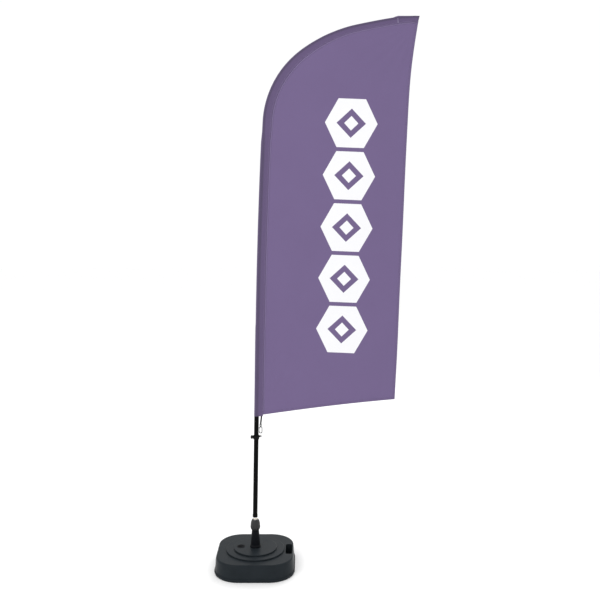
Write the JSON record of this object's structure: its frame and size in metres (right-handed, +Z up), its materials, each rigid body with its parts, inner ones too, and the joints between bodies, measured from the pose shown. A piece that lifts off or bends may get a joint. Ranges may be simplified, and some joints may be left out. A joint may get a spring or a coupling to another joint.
{
  "type": "feather flag with pole",
  "caption": "Tall teardrop-curved cloth banner on a bending rotating pole, held in a square water-filled base with a clamp nut.",
  "frame": {"origin": "centre of the base's flat underside, on the pole's spin axis", "axes": "+Z up; +X towards the flag's free edge; +Y is the flag's back"},
  "size_m": [1.1338, 0.458, 3.0978],
  "materials": {
    "water_tank": "blow-moulded polyethylene, satin",
    "riser_tube": "black moulded plastic",
    "stem_stop": "black plastic",
    "filler_seal": "rubber washer",
    "filler_cap": "black moulded plastic",
    "collet": "natural acetal",
    "clamp_nut": "dark grey plastic",
    "stem": "turned steel",
    "lower_race": "ground steel",
    "retaining_clip": "spring steel",
    "bearing_cage": "brass",
    "bearing_balls": "polished steel",
    "upper_race": "ground steel",
    "spigot": "turned aluminium",
    "lower_bush": "acetal",
    "upper_bush": "acetal",
    "pole_foot": "black plastic",
    "lower_tube": "black anodised",
    "mid_tube": "black anodised",
    "stop_ring": "black plastic",
    "tip_socket": "black plastic",
    "tip_rod": "fibreglass rod",
    "tip_cap": "soft plastic",
    "pole_sleeve": "doubled polyester",
    "flag_panel": "knitted flag polyester",
    "tension_strap": "black webbing",
    "tension_collar": "black nylon",
    "screw_pad": "nylon",
    "thumb_screw": "dark grey plastic",
    "lug_ring": "bright steel wire",
    "swivel_eye": "dark die-cast metal",
    "strap_loop": "black webbing",
    "hook_body": "dark die-cast metal",
    "gate_pin": "steel",
    "hook_gate": "steel"
  },
  "bodies": {
    "base": {"tank_floor": "water_tank", "tank_wall": "water_tank", "tank_deck": "water_tank", "riser_tube": "riser_tube", "stem_stop": "stem_stop"},
    "filler_seal_lift": {"filler_seal": "filler_seal"},
    "filler_cap_turn": {"filler_cap": "filler_cap"},
    "collet_body": {"collet": "collet"},
    "nut_body": {"clamp_nut": "clamp_nut"},
    "stem_body": {"stem": "stem", "lower_race": "lower_race", "retaining_clip": "retaining_clip"},
    "cage_body": {"bearing_cage": "bearing_cage", "bearing_balls": "bearing_balls"},
    "rotor": {"upper_race": "upper_race", "spigot": "spigot", "lower_bush": "lower_bush", "upper_bush": "upper_bush"},
    "mast": {"pole_foot": "pole_foot", "lower_tube": "lower_tube", "mid_tube": "mid_tube", "stop_ring": "stop_ring", "tip_socket": "tip_socket", "tip_rod": "tip_rod", "tip_cap": "tip_cap", "pole_sleeve": "pole_sleeve", "flag_panel": "flag_panel", "tension_strap": "tension_strap"},
    "collar": {"tension_collar": "tension_collar"},
    "pad": {"screw_pad": "screw_pad"},
    "screw": {"thumb_screw": "thumb_screw"},
    "ring": {"lug_ring": "lug_ring"},
    "eye": {"swivel_eye": "swivel_eye", "strap_loop": "strap_loop"},
    "hook": {"hook_body": "hook_body", "gate_pin": "gate_pin"},
    "gate": {"hook_gate": "hook_gate"}
  },
  "joints": [
    {"name": "filler_cap_lift", "type": "slide", "parent": "base", "child": "filler_seal_lift", "axis": [0, 0, 1], "range_m": [0, 0.08]},
    {"name": "filler_cap_unscrew", "type": "hinge", "parent": "filler_seal_lift", "child": "filler_cap_turn", "pos_m": [-0.084, 0, 0.105], "axis": [0, 0, 1], "range_deg": [0, 540]},
    {"name": "collet_release", "type": "slide", "parent": "base", "child": "collet_body", "axis": [0, 0, 1], "range_m": [0, 0.003]},
    {"name": "clamp_nut_turn", "type": "hinge", "parent": "collet_body", "child": "nut_body", "pos_m": [0, 0, 0.24], "axis": [0, 0, 1], "range_deg": [0, 360]},
    {"name": "stem_lift", "type": "slide", "parent": "base", "child": "stem_body", "axis": [0, 0, 1], "range_m": [0, 0.15]},
    {"name": "ball_cage_turn", "type": "hinge", "parent": "stem_body", "child": "cage_body", "pos_m": [0, 0, 0.279], "axis": [0, 0, 1], "continuous": true},
    {"name": "mast_spin", "type": "hinge", "parent": "stem_body", "child": "rotor", "pos_m": [0, 0, 0.285], "axis": [0, 0, 1], "continuous": true},
    {"name": "mast_lift", "type": "slide", "parent": "rotor", "child": "mast", "axis": [0, 0, 1], "range_m": [0, 0.13]},
    {"name": "collar_slide", "type": "slide", "parent": "mast", "child": "collar", "axis": [0, 0, 1], "range_m": [-0.015, 0.01]},
    {"name": "thumb_screw_advance", "type": "slide", "parent": "collar", "child": "pad", "axis": [-0.9998, 0, 0.0192], "range_m": [0, 0.002]},
    {"name": "thumb_screw_turn", "type": "hinge", "parent": "pad", "child": "screw", "pos_m": [0.00802, 0, 0.75731], "axis": [-0.9998, 0, 0.0192], "range_deg": [0, 720]},
    {"name": "ring_swing", "type": "hinge", "parent": "collar", "child": "ring", "pos_m": [0.0335, 0, 0.762], "axis": [0, 1, 0], "range_deg": [-4, 4]},
    {"name": "strap_stretch", "type": "slide", "parent": "mast", "child": "eye", "axis": [0, 0, 1], "range_m": [-0.015, 0.01], "deforming": ["tension_strap"]},
    {"name": "hook_swivel", "type": "hinge", "parent": "eye", "child": "hook", "pos_m": [0.0335, 0, 0.82], "axis": [0, 0, 1], "range_deg": [-10, 10]},
    {"name": "gate_open", "type": "hinge", "parent": "hook", "child": "gate", "pos_m": [0.0261, 0, 0.8106], "axis": [0, -1, 0], "range_deg": [0, 22], "stiffness_Nm_per_rad": 0.002, "springref_deg": -11.46}
  ],
  "couplings": [
    {"joint": "collet_release", "follows": "clamp_nut_turn", "m_per_rad": 0.00047746},
    {"joint": "ball_cage_turn", "follows": "mast_spin", "ratio": 0.5},
    {"joint": "thumb_screw_advance", "follows": "thumb_screw_turn", "m_per_rad": 0.00015915},
    {"joint": "strap_stretch", "follows": "collar_slide", "ratio": 1}
  ]
}
